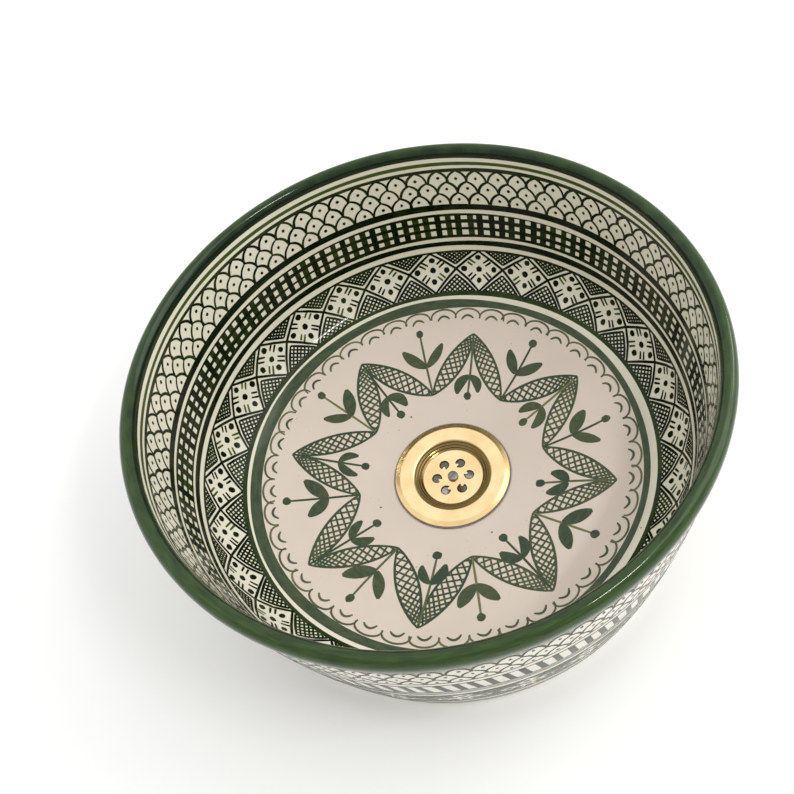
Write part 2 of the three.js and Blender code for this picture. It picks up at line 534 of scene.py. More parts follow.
def calculate(tree, kind, operation, *values):
    """A Math or Vector Math node; each value is a socket to link, or a plain number or vector."""
    node = add_node(tree, kind, operation=operation)
    for socket, value in zip(node.inputs, values):
        if isinstance(value, bpy.types.NodeSocket):
            tree.links.new(value, socket)
        else:
            socket.default_value = value
    return node


def off_axis(tree, point):
    """The point's offset from the basin's axis, as a level vector, and its length."""
    flat = calculate(tree, "ShaderNodeVectorMath", "MULTIPLY", point, (1, 1, 0)).outputs["Vector"]
    length = calculate(tree, "ShaderNodeVectorMath", "LENGTH", flat).outputs["Value"]
    return flat, length


def distance_from_axis(tree, point, near, far):
    """How far a point is from the basin's axis: 0 at the near distance and 1 at the far one."""
    _, length = off_axis(tree, point)
    share = add_node(tree, "ShaderNodeMapRange")
    share.inputs["From Min"].default_value = near
    share.inputs["From Max"].default_value = far
    tree.links.new(length, share.inputs["Value"])
    return share.outputs["Result"]


def glaze_material():
    """Cream tin glaze: yellower on the wall, pinker on the floor, glossy, with slight pooling and specks."""
    material, tree, shader = new_material("cream_glaze")
    point = object_point(tree)
    outward = distance_from_axis(tree, point, 140 * MM, 154 * MM)
    body = ramp(tree, outward, ((0, FLOOR_CREAM), (1, WALL_CREAM)))
    cloud = ramp(tree, noise(tree, point, 14), ((0.3, (0.93, 0.93, 0.91)), (0.7, (1, 1, 1))))
    shade = mix(tree, "MULTIPLY", 1.0, body, cloud)
    speck = ramp(tree, noise(tree, point, 420, 1), ((0.78, (0, 0, 0)), (0.81, (1, 1, 1))))
    colour = mix(tree, "MIX", speck, shade, SPECK)
    tree.links.new(colour, shader.inputs["Base Color"])
    shader.inputs["Roughness"].default_value = 0.1
    shader.inputs["Specular IOR Level"].default_value = 0.3
    bump(tree, shader, noise(tree, point, 22, 2), 0.25, 0.0012)
    return material


def wheel_point(tree, around, across):
    """A point that changes slowly round the basin and fast across it, for marks left on a turning wheel."""
    point = object_point(tree)
    split = add_node(tree, "ShaderNodeSeparateXYZ")
    tree.links.new(point, split.inputs["Vector"])
    flat, length = off_axis(tree, point)
    step = calculate(tree, "ShaderNodeMath", "SUBTRACT", length, split.outputs["Z"]).outputs[0]
    direction = calculate(tree, "ShaderNodeVectorMath", "NORMALIZE", flat).outputs["Vector"]
    turned = calculate(tree, "ShaderNodeVectorMath", "SCALE", direction)
    turned.inputs["Scale"].default_value = around
    up = add_node(tree, "ShaderNodeCombineXYZ")
    tree.links.new(calculate(tree, "ShaderNodeMath", "MULTIPLY", step, across).outputs[0], up.inputs["Z"])
    total = calculate(tree, "ShaderNodeVectorMath", "ADD", turned.outputs["Vector"], up.outputs["Vector"])
    return total.outputs["Vector"]


def paint_material(name, thin, thick, gloss=0.4):
    """Green oxide under the glaze: thin washes are lighter, and brush marks run round the basin."""
    material, tree, shader = new_material(name)
    load = add_node(tree, "ShaderNodeAttribute", attribute_name="load").outputs["Fac"]
    uneven = noise(tree, wheel_point(tree, 14, 420), 1, 4)
    wash = calculate(tree, "ShaderNodeMath", "MULTIPLY_ADD", uneven, 0.5, -0.25).outputs[0]
    total = calculate(tree, "ShaderNodeMath", "ADD", wash, load).outputs[0]
    colour = ramp(tree, total, ((0.2, thin), (0.95, thick)))
    tree.links.new(colour, shader.inputs["Base Color"])
    shader.inputs["Roughness"].default_value = 0.1
    shader.inputs["Specular IOR Level"].default_value = gloss
    return material


def metal_material(name, bright, dull, roughness, scale):
    """Polished metal with a faint, uneven film of tarnish."""
    material, tree, shader = new_material(name)
    film = noise(tree, object_point(tree), scale, 4)
    tree.links.new(ramp(tree, film, ((0.35, dull), (0.65, bright))), shader.inputs["Base Color"])
    rough = add_node(tree, "ShaderNodeMapRange")
    rough.inputs["To Min"].default_value = roughness * 0.7
    rough.inputs["To Max"].default_value = roughness * 1.4
    tree.links.new(film, rough.inputs["Value"])
    tree.links.new(rough.outputs["Result"], shader.inputs["Roughness"])
    shader.inputs["Metallic"].default_value = 1
    return material


def brass_material():
    """Lacquered brass: pale gold on the flat faces, with painted shade and reflection darkening the recess
    and the flange's outer edge, and a little painted reflection dimming the bevel.
    """
    material, tree, shader = new_material("brass")
    point = object_point(tree)
    film = noise(tree, point, 60, 4)
    gold = ramp(tree, film, ((0.35, (0.88, 0.64, 0.32)), (0.65, (0.97, 0.76, 0.43))))
    # Painted light by radius: the recess and the flange's outer edge are darkened as painted shade and
    # reflection, the bevel a little as painted reflection.
    clean, shaded, edge = (1, 1, 1), (0.28, 0.25, 0.18), (0.9, 0.86, 0.78)
    reach = 50
    by_radius = (
        (22.75, clean), (23.25, shaded), (29.25, shaded), (30, clean),
        (40, clean), (41, edge), (44.1, edge), (44.3, shaded),
    )
    stops = [(radius / reach, colour) for radius, colour in by_radius]
    painted_shading = ramp(tree, distance_from_axis(tree, point, 0, reach * MM), stops)
    tree.links.new(mix(tree, "MULTIPLY", 1.0, gold, painted_shading), shader.inputs["Base Color"])
    shader.inputs["Metallic"].default_value = 1
    shader.inputs["Roughness"].default_value = 0.2
    bump(tree, shader, noise(tree, wheel_point(tree, 3, 1500), 1, 2), 0.12, 0.0002)
    return material


def plain_material(name, light, dark, roughness, scale):
    """A moulded material whose colour drifts a little."""
    material, tree, shader = new_material(name)
    film = noise(tree, object_point(tree), scale, 5)
    tree.links.new(ramp(tree, film, ((0.3, dark), (0.7, light))), shader.inputs["Base Color"])
    shader.inputs["Roughness"].default_value = roughness
    bump(tree, shader, film, 0.15, 0.0003)
    return material


def glowing_plastic_material(name, light, dark):
    """Pale plastic with a faint painted glow: its emission stands in for the daylight that would come
    through it.
    """
    material = plain_material(name, light, dark, 0.45, 90)
    shader = material.node_tree.nodes["Principled BSDF"]
    # Painted light: a faint emission makes the plastic glow.
    shader.inputs["Emission Color"].default_value = (0.9, 0.87, 0.9, 1)
    shader.inputs["Emission Strength"].default_value = 0.06
    return material


WALL_CREAM = screen_colour(235, 231, 211)
FLOOR_CREAM = screen_colour(223, 208, 195)
SPECK = screen_colour(150, 135, 115)
GLAZE = glaze_material()
RIM_GREEN = paint_material("rim_green", screen_colour(78, 108, 46), screen_colour(14, 36, 5))
WALL_GREEN = paint_material("wall_green", screen_colour(82, 100, 46), screen_colour(7, 26, 9), 0.15)
FLOOR_GREEN = paint_material("floor_green", screen_colour(112, 112, 62), screen_colour(38, 60, 36))
OUTER_GREEN = paint_material("outer_green", screen_colour(96, 110, 64), screen_colour(14, 28, 10), 0.04)
BRASS_METAL = brass_material()
# Near-black brass for the sunk hole lips and walls: painted shade that draws the holes' dark outlines.
HOLE_SHADE_BRASS = metal_material("hole_shade_brass", (0.05, 0.04, 0.025), (0.03, 0.025, 0.018), 0.5, 400)
INSERT_METAL = metal_material("insert_metal", (0.9, 0.7, 0.36), (0.8, 0.58, 0.28), 0.2, 60)
STEEL_METAL = metal_material("screw_metal", (0.34, 0.33, 0.33), (0.24, 0.23, 0.23), 0.4, 300)
FOAM = plain_material("gasket_foam", screen_colour(150, 138, 136), screen_colour(118, 106, 106), 0.85, 500)
RUBBER = plain_material("gasket_rubber", screen_colour(60, 60, 60), screen_colour(38, 38, 38), 0.7, 300)
CLAY = plain_material("bare_clay", screen_colour(206, 176, 146), screen_colour(184, 150, 120), 0.9, 700)
PLASTIC = glowing_plastic_material("waste_grey", screen_colour(226, 224, 222), screen_colour(212, 210, 208))


def hold(thing):
    """Puts a piece on the one body: it rides the root body's empty."""
    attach(thing, "root")


# ---- The ceramic ----

def basin_body():
    """The pot itself: bowl, rolled rim, wall, foot ring and the drain hole."""
    inside = inside_section(14)
    outside = outside_section(14)
    landing = (DRAIN_HOLE_RADIUS, inside[-1][1])
    section = inside[::-1] + outside[1:]
    section += [(FOOT_INNER_RADIUS, 0), UNDERSIDE_CURVES[0][0]]
    for curve, steps in zip(UNDERSIDE_CURVES, UNDERSIDE_STEPS):
        section += quadratic(*curve, steps)
    section += [(DRAIN_HOLE_RADIUS, UNDERSIDE_HEIGHT), landing]
    section.reverse()
    slots = [1 if a[1] < 0.5 and b[1] < 0.5 else 0 for a, b in zip(section, section[1:] + section[:1])]
    thing = lathe("basin_glazed", section, AROUND, [GLAZE, CLAY], slots)
    smooth(thing)
    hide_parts("basin")
    hold(thing)


def rim_paint():
    painter = Painter(1)
    painter.ring(-19.5, -14, wobble=0.4, rows=4, load=0.2, end_load=0.3)
    painter.ring(-14.5, -2, wobble=0.4, rows=9, load=0.65, end_load=0.75)
    painter.ring(-2.2, 11, wobble=0.4, rows=10, load=0.7, end_load=1.1)
    painter.ring(-24.6, -23.2, wobble=0.3, load=0.6)
    return painted("paint_rim", painter, RIM_GREEN)


def scale_rows(painter, count, first_run, last_run, rows, weight, dot):
    """Rows of pointed fish scales, each with a dot, from the run their points face to the last run."""
    rng = painter.rng
    pitch = 2 * math.pi / count
    depth = (last_run - first_run) / rows
    way = math.copysign(1, depth)
    for row in range(rows):
        shift = row % 2 * 0.5
        for i in range(count):
            angle = (i + shift + rng.uniform(-0.06, 0.06)) * pitch
            area = Patch(angle, first_run + row * depth)
            half = area.radius * pitch / 2
            load = rng.uniform(0.75, 1)
            for side in (-1, 1):
                start = (-side * 0.5, -0.4 * way)
                bend = (side * half * rng.uniform(0.9, 1.02), depth * rng.uniform(0.2, 0.3))
                end = (side * half * rng.uniform(0.98, 1.04), depth * rng.uniform(1.0, 1.08))
                points = bezier(start, bend, end, 8)
                painter.line(area, points, taper(9, weight * rng.uniform(0.85, 1.15), 0.7, 0.8), load)
            spot = depth * rng.uniform(0.58, 0.72)
            painter.dot(area, rng.uniform(-0.8, 0.8), spot, dot * rng.uniform(0.85, 1.1), dot * 1.15, load)


def scales_paint():
    painter = Painter(2)
    painter.ring(14.9, 18.1, wobble=0.4, load=0.45)
    painter.ring(21.2, 24.4, wobble=0.5, load=0.8)
    scale_rows(painter, 74, 24, 57, 3, 2.1, 1.3)
    painter.ring(57, 63.2, wobble=0.5, load=0.95)
    return painted("paint_scales", painter, WALL_GREEN)


def checks_paint():
    painter = Painter(3)
    rng = painter.rng
    for start, end in ((67, 69), (73.2, 76.7), (81, 84), (88.3, 91.5)):
        painter.ring(start, end, wobble=0.7, load=0.9)
    count = 130
    pitch = 2 * math.pi / count
    for i in range(count):
        area = Patch((i + rng.uniform(-0.08, 0.08)) * pitch, 67.5)
        lean = rng.uniform(0.2, 1)
        width = rng.uniform(4.5, 5.4)
        points = [(lean * t, 23.5 * t) for t in (0, 0.25, 0.5, 0.75, 1)]
        painter.line(area, points, [width] * 5, rng.uniform(0.7, 1))
    painter.ring(94.4, 99.6, wobble=0.5, load=0.95)
    return painted("paint_checks", painter, WALL_GREEN)


def hatched_triangle(painter, area, tip, base, half_width, load):
    """A cross-hatched triangle: its tip and base are y values in the area, half_width is at the base."""
    rng = painter.rng
    height = base - tip
    corners = [(0, tip), (half_width, base), (-half_width, base)]
    for a, b in ((corners[0], corners[1]), (corners[0], corners[2])):
        points = [(a[0] + (b[0] - a[0]) * t, a[1] + (b[1] - a[1]) * t) for t in (0, 0.35, 0.7, 1)]
        painter.line(area, points, [1.6, 2.1, 2.1, 1.8], load)
    lines = 6
    for side in (-1, 1):
        for k in range(1, lines + 1):
            part = k / (lines + 1)
            start = (side * half_width * part, tip + height * part)
            end = (side * half_width * (2 * part - 1), base)
            middle = ((start[0] + end[0]) / 2 + rng.uniform(-0.3, 0.3), (start[1] + end[1]) / 2)
            painter.line(area, [start, middle, end], [1.3, 1.7, 1.4], load * rng.uniform(0.8, 1))


def paired_dashes(painter, area, edge_x, edge_y, load):
    """Two short parallel strokes from the middle of a diamond's side towards its centre."""
    rng = painter.rng
    length = math.hypot(edge_x, edge_y)
    ux, uy = edge_x / length, edge_y / length
    for offset in (-1.7, 1.7):
        offset += rng.uniform(-0.3, 0.3)
        near, far = length * rng.uniform(0.4, 0.5), length * rng.uniform(0.86, 0.95)
        reaches = (near, (near + far) / 2, far)
        points = [(ux * reach - uy * offset, uy * reach + ux * offset) for reach in reaches]
        painter.line(area, points, [1.3, 1.7, 1.8], load)


def diamond_band(painter, count, first_angle, start, end):
    """Diamonds with a dotted cross in each, and cross-hatched triangles in between."""
    rng = painter.rng
    pitch = 2 * math.pi / count
    middle = (start + end) / 2 - 2
    for i in range(count):
        angle = first_angle + i * pitch
        area = Patch(angle, middle)
        half = area.radius * pitch / 2
        load = rng.uniform(0.85, 1)
        low, high = start - middle, end - middle
        for side in (-1, 1):
            for y_tip in (low, high):
                middle_y = y_tip / 2 + rng.uniform(-0.4, 0.4)
                edge = [(0, y_tip), (side * half * 0.5, middle_y), (side * half, 0)]
                painter.line(area, edge, [1.7, 2.1, 2.0], load)
        for x, y in ((0, 0.4), (-half * 0.62, 0.4), (half * 0.62, 0.4), (0, low * 0.62), (0, high * 0.52)):
            x += rng.uniform(-0.8, 0.8)
            y += rng.uniform(-0.6, 0.6)
            painter.dot(area, x, y, rng.uniform(2.2, 2.7), rng.uniform(2.3, 2.8), load)
        for side in (-1, 1):
            for y_edge in (low, high):
                dash_load = load if rng.random() < 0.7 else 0.4
                paired_dashes(painter, area, side * half / 2, y_edge / 2, dash_load)
        between = Patch(angle + pitch / 2, middle)
        hatched_triangle(painter, between, 5, high, half * 0.82, load)
        hatched_triangle(painter, between, -4.2, low, half * 0.7, load)


def diamonds_paint():
    painter = Painter(4)
    painter.ring(104.2, 106.2, wobble=0.4, load=0.9)
    diamond_band(painter, 27, math.radians(38.5), 105.5, 140.5)
    painter.ring(140.2, 143.8, wobble=0.4, load=0.75)
    return painted("paint_diamonds", painter, WALL_GREEN)


def scallops_paint():
    """The floor's green ring, its thin scallops and the short stroke under each."""
    painter = Painter(5)
    rng = painter.rng
    painter.ring(147.6, 154.4, wobble=0.6, load=0.85, drift=2)
    count = 42
    pitch = 2 * math.pi / count
    for i in range(count):
        area = Patch((i + rng.uniform(-0.05, 0.05)) * pitch, 155.6)
        half = area.radius * pitch / 2
        depth = 8 * rng.uniform(0.9, 1.1)
        arch = [
            (-half * math.cos(math.pi * t / 10) * 1.03, depth * (1 - math.sin(math.pi * t / 10) ** 0.8))
            for t in range(11)
        ]
        painter.line(area, arch, taper(11, 1.6, 0.8, 0.9), rng.uniform(0.35, 0.8))
        under = bezier((-half * 0.5, 8.6), (half * 0.1, 2.6), (half * 0.5, 9.8), 6)
        painter.line(area, under, taper(7, 1.9, 0.6, 0.6), rng.uniform(0.6, 0.9))
    return painted("paint_floor_ring", painter, FLOOR_GREEN)


# The star's points lie on one circle and its inner corners on another, at even steps. The painter laid
# the points off a little towards one side of the bowl, so their circle is shifted that way.
STAR_POINTS = 8
STAR_STEP_DEG = 360 / STAR_POINTS
TIP_RADIUS = 124.5
FIRST_TIP_DEG = 20.5
TIP_SHIFT = 3.5
TIP_SHIFT_DEG = 250
VALLEY_RADIUS = 72
FIRST_VALLEY_DEG = 42
LEAF_WIDTH = 15


def on_circle(radius, degrees):
    turn = math.radians(degrees)
    return radius * math.cos(turn), radius * math.sin(turn)


def star_tips():
    """The star's points on the bowl's floor: distance from the axis in mm and angle in degrees."""
    shift_x, shift_y = on_circle(TIP_SHIFT, TIP_SHIFT_DEG)
    tips = []
    for i in range(STAR_POINTS):
        x, y = on_circle(TIP_RADIUS, FIRST_TIP_DEG + STAR_STEP_DEG * i)
        x, y = x + shift_x, y + shift_y
        tips.append((math.hypot(x, y), math.degrees(math.atan2(y, x))))
    return tips


def star_valleys():
    """The star's inner corners, given as its points are; each follows the point of the same number."""
    return [(VALLEY_RADIUS, FIRST_VALLEY_DEG + STAR_STEP_DEG * i) for i in range(STAR_POINTS)]


class Along:
    """A frame laid from one floor point to another: x runs along the line, y to its left, in mm."""

    def __init__(self, start, end):
        self.start = start
        dx, dy = end[0] - start[0], end[1] - start[1]
        self.length = math.hypot(dx, dy)
        self.ux, self.uy = dx / self.length, dy / self.length

    def to_glaze(self, x, y):
        px = self.start[0] + x * self.ux - y * self.uy
        py = self.start[1] + x * self.uy + y * self.ux
        return Plan().to_glaze(px, py)


def lens_half_width(part, width):
    return width / 2 * math.sin(math.pi * part) ** 0.8


def hatched_leaf(painter, start, end, width):
    """One ray of the star: a lens outlined twice and filled with crossing lines."""
    rng = painter.rng
    area = Along(start, end)
    length = area.length
    load = rng.uniform(0.8, 1)
    steps = 14
    for side in (-1, 1):
        points = [
            (length * t / steps, side * lens_half_width(t / steps, width))
            for t in range(steps + 1)
        ]
        painter.line(area, points, taper(steps + 1, 1.9, 0.8, 0.8), load)
    count = 13
    for side in (-1, 1):
        for k in range(count):
            first = (k + 0.5) / count
            last = first + 0.2 * math.sin(math.pi * first) + 0.03
            if last > 0.98:
                continue
            a = (length * first, -side * lens_half_width(first, width))
            b = (length * last, side * lens_half_width(last, width))
            middle = ((a[0] + b[0]) / 2, (a[1] + b[1]) / 2)
            painter.line(area, [a, middle, b], [1.35, 1.6, 1.35], load * rng.uniform(0.75, 1))


def star_paint():
    painter = Painter(6)
    valleys = star_valleys()
    for i, tip in enumerate(star_tips()):
        for valley in (valleys[i - 1], valleys[i]):
            width = LEAF_WIDTH * painter.rng.uniform(0.92, 1.08)
            hatched_leaf(painter, on_circle(*valley), on_circle(*tip), width)
    return painted("paint_star", painter, FLOOR_GREEN)


def brushed_leaf(painter, area, root, tip, width, bow, load):
    """A leaf pressed from a loaded brush: it swells beyond the middle and ends in a blunt point."""
    steps = 10
    dx, dy = tip[0] - root[0], tip[1] - root[1]
    length = math.hypot(dx, dy)
    points = []
    widths = []
    for i in range(steps + 1):
        t = i / steps
        sway = bow * math.sin(math.pi * t)
        points.append((root[0] + dx * t - dy / length * sway, root[1] + dy * t + dx / length * sway))
        widths.append(width * math.sin(math.pi * min(0.96, t * 0.9 + 0.06)) ** 0.7)
    painter.line(area, points, widths, load)


def sprig(painter, start, end, leaf_root, leaf_tip, spread, width, bow):
    """A stem with a bud at its end and a pair of leaves that bow outwards; distances are along the stem."""
    rng = painter.rng
    area = Along(start, end)
    length = area.length
    load = rng.uniform(0.75, 1)
    stem_load = rng.choice((0.3, 0.6, 0.9))
    sway = rng.uniform(-0.8, 0.8)
    points = [(length * t / 6, sway * math.sin(math.pi * t / 6)) for t in range(7)]
    painter.line(area, points, taper(7, 1.8, 0.8, 0.8), stem_load)
    for side in (-1, 1):
        root = (leaf_root, side * 0.3)
        tip = (leaf_tip * rng.uniform(0.96, 1.04), side * spread * rng.uniform(0.9, 1.1))
        leaf_width = width * rng.uniform(0.75, 1.1)
        leaf_bow = side * bow + rng.uniform(-0.8, 0.8)
        brushed_leaf(painter, area, root, tip, leaf_width, leaf_bow, load * rng.uniform(0.9, 1))
    painter.dot(area, length, 0, 3.4 * rng.uniform(0.9, 1.1), 3.3 * rng.uniform(0.9, 1.1), load)


def sprigs_paint():
    painter = Painter(7)
    rng = painter.rng
    for radius, degrees in star_valleys():
        start = on_circle(radius + 1, degrees)
        end = on_circle(rng.uniform(121, 126), degrees + rng.uniform(-1.5, 1.5))
        sprig(painter, start, end, leaf_root=23, leaf_tip=39, spread=15.5, width=10, bow=0.5)
    for radius, degrees in star_tips():
        start = on_circle(radius - 3, degrees)
        end = on_circle(68.5, degrees + rng.uniform(-2.5, 1))
        sprig(painter, start, end, leaf_root=32.5, leaf_tip=48, spread=8.6, width=8.2, bow=2.4)
    for radius, degrees in ((60, 190), (59, 285), (62, 107)):
        x, y = on_circle(radius, degrees)
        painter.dot(Plan(), x, y, 0.8, 0.6)
    return painted("paint_sprigs", painter, FLOOR_GREEN)


def outer_scales_paint():
    painter = Painter(8)
    start = glaze.run_at_height(152.5)
    end = glaze.run_at_height(119)
    scale_rows(painter, 84, start, end, 3, 1.7, 1.1)
    painter.ring(end - 1.2, end + 0.4, wobble=0.4, load=0.9)
    return painted("paint_outer_scales", painter, OUTER_GREEN)


def outer_bars_paint():
    painter = Painter(9)
    rng = painter.rng
    top = glaze.run_at_height(110.5)
    bottom = glaze.run_at_height(88)
    painter.ring(top, top + 1.4, wobble=0.4, load=0.9)
    painter.ring(bottom - 1.4, bottom, wobble=0.4, load=0.9)
    count = 116
    pitch = 2 * math.pi / count
    for i in range(count):
        area = Patch((i + rng.uniform(-0.08, 0.08)) * pitch, bottom)
        width = area.radius * pitch * rng.uniform(0.38, 0.46)
        height = top - bottom
        lean = rng.uniform(-5, -3.5)
        points = [(lean * t / 4, height * t / 4) for t in range(5)]
        painter.line(area, points, [width] * 5, rng.uniform(0.75, 1))
    for height in (83, 79):
        run = glaze.run_at_height(height)
        painter.ring(run - 0.7, run + 0.7, wobble=0.4, load=0.8)
    return painted("paint_outer_bars", painter, OUTER_GREEN)


def outer_diamonds_paint():
    painter = Painter(10)
    top = glaze.run_at_height(70)
    bottom = glaze.run_at_height(34)
    painter.ring(top, top + 1.6, wobble=0.4, load=0.9)
    diamond_band(painter, 27, 0.1, bottom, top)
    painter.ring(bottom - 3, bottom, wobble=0.4, load=0.8)
    return painted("paint_outer_diamonds", painter, OUTER_GREEN)


def outer_foot_paint():
    painter = Painter(11)
    for low, high, load in ((8, 16, 0.95), (21, 23, 0.8)):
        painter.ring(glaze.run_at_height(low), glaze.run_at_height(high), wobble=0.5, rows=2, load=load)
    return painted("paint_outer_foot", painter, OUTER_GREEN)


# ---- The drain ----

def comma_outline(turn):
    """One comma-shaped drain hole in the strainer plate, at its angle round the plate."""
    def polar(size, degrees):
        return on_circle(size * HOLE_RADIUS, degrees)

    outline = [polar(1.12, HOLE_TAIL_DEG)]
    arc_steps = 22
    for i in range(arc_steps + 1):
        outline.append(polar(1, 190 + (450 - 190) * i / arc_steps))
    outline += quadratic(polar(1, 90), polar(1.15, 116), polar(0.85, 122), 4)
    outline += quadratic(polar(0.85, 122), polar(0.2, 130), polar(0.5, 158), 6)
    cos, sin = math.cos(turn), math.sin(turn)
    return [((x + HOLE_CIRCLE) * cos - y * sin, (x + HOLE_CIRCLE) * sin + y * cos) for x, y in outline]


def circle(radius, count):
    turns = [2 * math.pi * i / count for i in range(count)]
    return [(radius * math.cos(turn), radius * math.sin(turn)) for turn in turns]


def shrunk(outline, part):
    """The same outline drawn smaller about its own middle."""
    middle_x = sum(x for x, y in outline) / len(outline)
    middle_y = sum(y for x, y in outline) / len(outline)
    return [(middle_x + (x - middle_x) * part, middle_y + (y - middle_y) * part) for x, y in outline]


def plate_with_holes(outer, holes, top, bottom):
    """Points, faces and slots of a flat plate whose holes have sunk lips; the lips and hole walls take the
    second slot, near-black brass as painted shade. It has no outer wall.
    """
    lips = [shrunk(outline, HOLE_LIP) for outline in holes]
    corners, loops = [], []
    for outline in [outer] + holes + lips:
        loops.append(list(range(len(corners), len(corners) + len(outline))))
        corners += [Vector(point) for point in outline]
    flat, _, triangles, sources, _, owners = delaunay_2d_cdt(corners, [], loops, 1, 1e-4)
    first_lip = loops[len(holes) + 1][0]
    sunk = [bool(source) and min(source) >= first_lip for source in sources]
    plate = [tuple(tri) for tri, owner in zip(triangles, owners) if len(owner) == 1]
    lip = [tuple(tri) for tri, owner in zip(triangles, owners) if len(owner) == 2]
    count = len(flat)
    points = [(p.x * MM, p.y * MM, (top - LIP_DEPTH * low) * MM) for p, low in zip(flat, sunk)]
    points += [(p.x * MM, p.y * MM, bottom * MM) for p in flat]
    top_faces = plate + lip
    edges = {(a, b) for tri in top_faces for a, b in zip(tri, tri[1:] + tri[:1])}
    walls = [(a, a + count, b + count, b) for a, b in edges if (b, a) not in edges and sunk[a] and sunk[b]]
    faces = plate + [tuple(i + count for i in reversed(tri)) for tri in top_faces] + lip + walls
    shaded = len(lip) + len(walls)
    return points, faces, [0] * (len(faces) - shaded) + [1] * shaded


def strainer_section():
    """The strainer's flange and recess from the plate's top edge, over the rim, to its bottom edge."""
    seat = FLANGE_TOP - BRASS
    section = [(PLATE_RADIUS, PLATE_TOP), (23.5, 12.75)]
    for radius, height in RIDGES:
        section += [(radius - 1.5, height - 1.1), (radius - 1.1, height - 0.9)]
        section += [(radius - 0.9, height + 0.2), (radius - 0.4, height + 0.3), (radius, height)]
    section += [(DISH_RADIUS, 17.05), (30.2, 17.35), (31, 17.5), (34, 17.85), (37, 18.1), (39, 18.25)]
    section += [(40.1, FLANGE_TOP), (40.5, 18.22), (41, 18.05), (44.2, 17.3), (FLANGE_RADIUS, 17.12)]
    section += [(44.2, seat), (41, seat)]
    section += [(30.5, 16.1), (28.4, 14.9), (24.6, 12), (23.6, PLATE_BOTTOM), (PLATE_RADIUS, PLATE_BOTTOM)]
    return section


def strainer():
    """The brass strainer: its turned flange and recess, and the pierced plate at the bottom."""
    around = 192
    section = strainer_section()
    points = turned_points(section, around)
    faces = turned_faces(len(section), around, closed=False)
    holes = [comma_outline(math.radians(FIRST_HOLE_DEG + 60 * k)) for k in range(HOLE_COUNT)]
    holes.append(circle(SCREW_HOLE_RADIUS, 32))
    plate_edge = circle(PLATE_RADIUS, around)
    plate_points, plate_faces, plate_slots = plate_with_holes(plate_edge, holes, PLATE_TOP, PLATE_BOTTOM)
    offset = len(points)
    slots = [0] * len(faces) + plate_slots
    points += plate_points
    faces += [tuple(index + offset for index in face) for face in plate_faces]
    thing = mesh_object("strainer_brass", points, faces, [BRASS_METAL, HOLE_SHADE_BRASS], slots)
    weld(thing)
    smooth(thing, 28)
    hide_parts("strainer_flange")
    hold(thing)


def combine(thing, other, operation):
    """Adds another solid to this one, or cuts it away, and drops the other."""
    modifier = thing.modifiers.new("combine", "BOOLEAN")
    modifier.operation = operation
    modifier.solver = "EXACT"
    modifier.object = other
    shape = thing.evaluated_get(bpy.context.evaluated_depsgraph_get())
    mesh = bpy.data.meshes.new_from_object(shape)
    thing.modifiers.clear()
    thing.data = mesh
    bpy.data.objects.remove(other)


def solid_turned(name, section, around, material):
    """A closed solid on the axis: a section from its lowest axis point out and up to its highest."""
    ring_points = section[1:-1]
    count = len(ring_points)
    points = turned_points(ring_points, around)
    faces = []
    low, high = len(points), len(points) + 1
    points += [(0, 0, section[0][1] * MM), (0, 0, section[-1][1] * MM)]
    for i in range(around):
        here, there = i * count, (i + 1) % around * count
        faces.append((low, there, here))
        faces.append((high, here + count - 1, there + count - 1))
        for j in range(count - 1):
            faces.append((here + j, there + j, there + j + 1, here + j + 1))
    return mesh_object(name, points, faces, [material])


def block(name, size, centre, turn, material):
    """A box of this size in mm about a centre, turned about Z."""
    half = [value / 2 for value in size]
    cos, sin = math.cos(turn), math.sin(turn)
    points = []
    for dz in (-half[2], half[2]):
        for dx, dy in ((-half[0], -half[1]), (half[0], -half[1]), (half[0], half[1]), (-half[0], half[1])):
            x, y = centre[0] + dx, centre[1] + dy
            points.append(((x * cos - y * sin) * MM, (x * sin + y * cos) * MM, (centre[2] + dz) * MM))
    faces = [(3, 2, 1, 0), (4, 5, 6, 7), (0, 1, 5, 4), (1, 2, 6, 5), (2, 3, 7, 6), (3, 0, 4, 7)]
    return mesh_object(name, points, faces, [material])


def centre_screw():
    """A plain shank under a slotted, slightly domed head."""
    section = [(0, BOSS_BOTTOM), (1.9, BOSS_BOTTOM), (SHANK_RADIUS, BOSS_BOTTOM + 1)]
    section += [(SHANK_RADIUS, HEAD_BOTTOM), (HEAD_RADIUS - 0.3, HEAD_BOTTOM)]
    section += [(HEAD_RADIUS, HEAD_BOTTOM + 0.3), (HEAD_RADIUS, HEAD_TOP - 0.8)]
    section += [(3.85, HEAD_TOP - 0.4), (3.4, HEAD_TOP - 0.1), (2, HEAD_TOP), (0, HEAD_TOP)]
    thing = solid_turned("centre_screw_fine", section, 48, STEEL_METAL)
    slot = block("slot", SLOT_SIZE, (0, 0, HEAD_TOP), math.pi / 5, STEEL_METAL)
    combine(thing, slot, "DIFFERENCE")
    smooth(thing, 30)
    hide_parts("centre_screw")
    hold(thing)


def cushion_ring(node, ring, material):
    """A gasket: a flat ring whose edges bulge a little; ring is its two radii, its bottom and its top."""
    inner, outer, low, high = ring
    swell = (high - low) * 0.18
    middle = (low + high) / 2
    section = [(inner + swell, low), (outer - swell, low), (outer, middle), (outer - swell, high)]
    section += [(inner + swell, high), (inner, middle)]
    thing = lathe(node + "_fine", section, 96, [material])
    smooth(thing, 50)
    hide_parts(node)
    hold(thing)


def thread_radius(height, share):
    """The tail's radius at a height and a share of a turn: a helical groove that fades out at its ends."""
    fade = min(1, (THREAD_TOP - height) / 2, (height - THREAD_BOTTOM) / 1.5)
    phase = (height / THREAD_PITCH - share) % 1
    groove = max(0, min(1, 2.6 * abs(phase - 0.5) * 2 - 0.8))
    return TAIL_RADIUS - THREAD_DEPTH * groove * max(0, fade)


